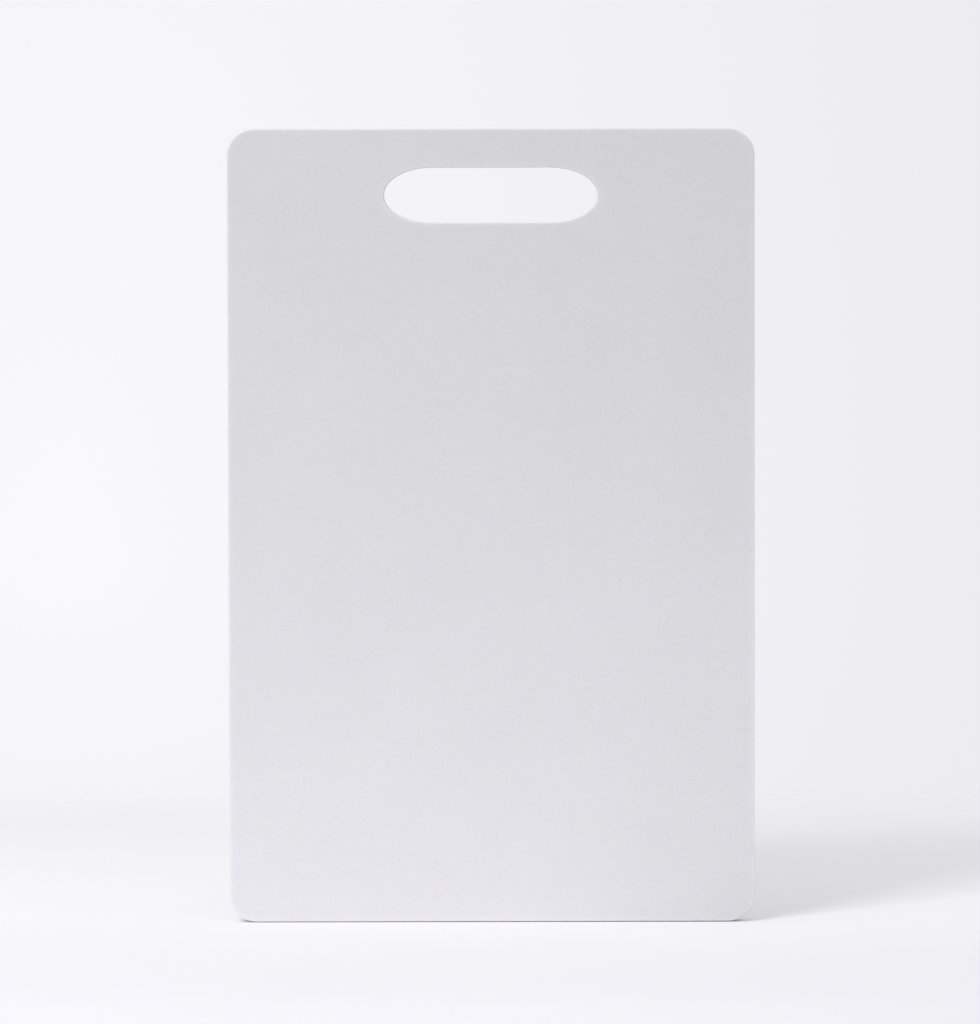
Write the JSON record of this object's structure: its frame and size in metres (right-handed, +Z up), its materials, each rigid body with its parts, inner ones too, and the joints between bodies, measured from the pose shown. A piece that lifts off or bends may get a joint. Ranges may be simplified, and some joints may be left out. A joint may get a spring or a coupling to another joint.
{
  "type": "plastic cutting board",
  "caption": "Upright rectangular plastic cutting board with rounded corners, softened edges and a wide oval-ended hand slot near the top, for chopping food on either face.",
  "frame": {"origin": "middle of the lower edge, on the surface that the board stands on", "axes": "+Z up the board's height, +X across its width to the right as seen from the front, +Y from the front cutting face to the back"},
  "size_m": [0.252, 0.013, 0.38],
  "materials": {
    "cutting_sheet": "fine matte grain, slightly cool white",
    "frame_plastic": "smooth satin, slightly cool white",
    "core_foam": "closed-cell foam, hidden inside"
  },
  "bodies": {
    "root": {"front_cutting_sheet": "cutting_sheet", "back_cutting_sheet": "cutting_sheet", "edge_frame": "frame_plastic", "handle_rail": "frame_plastic", "core_panel": "core_foam"}
  },
  "joints": []
}
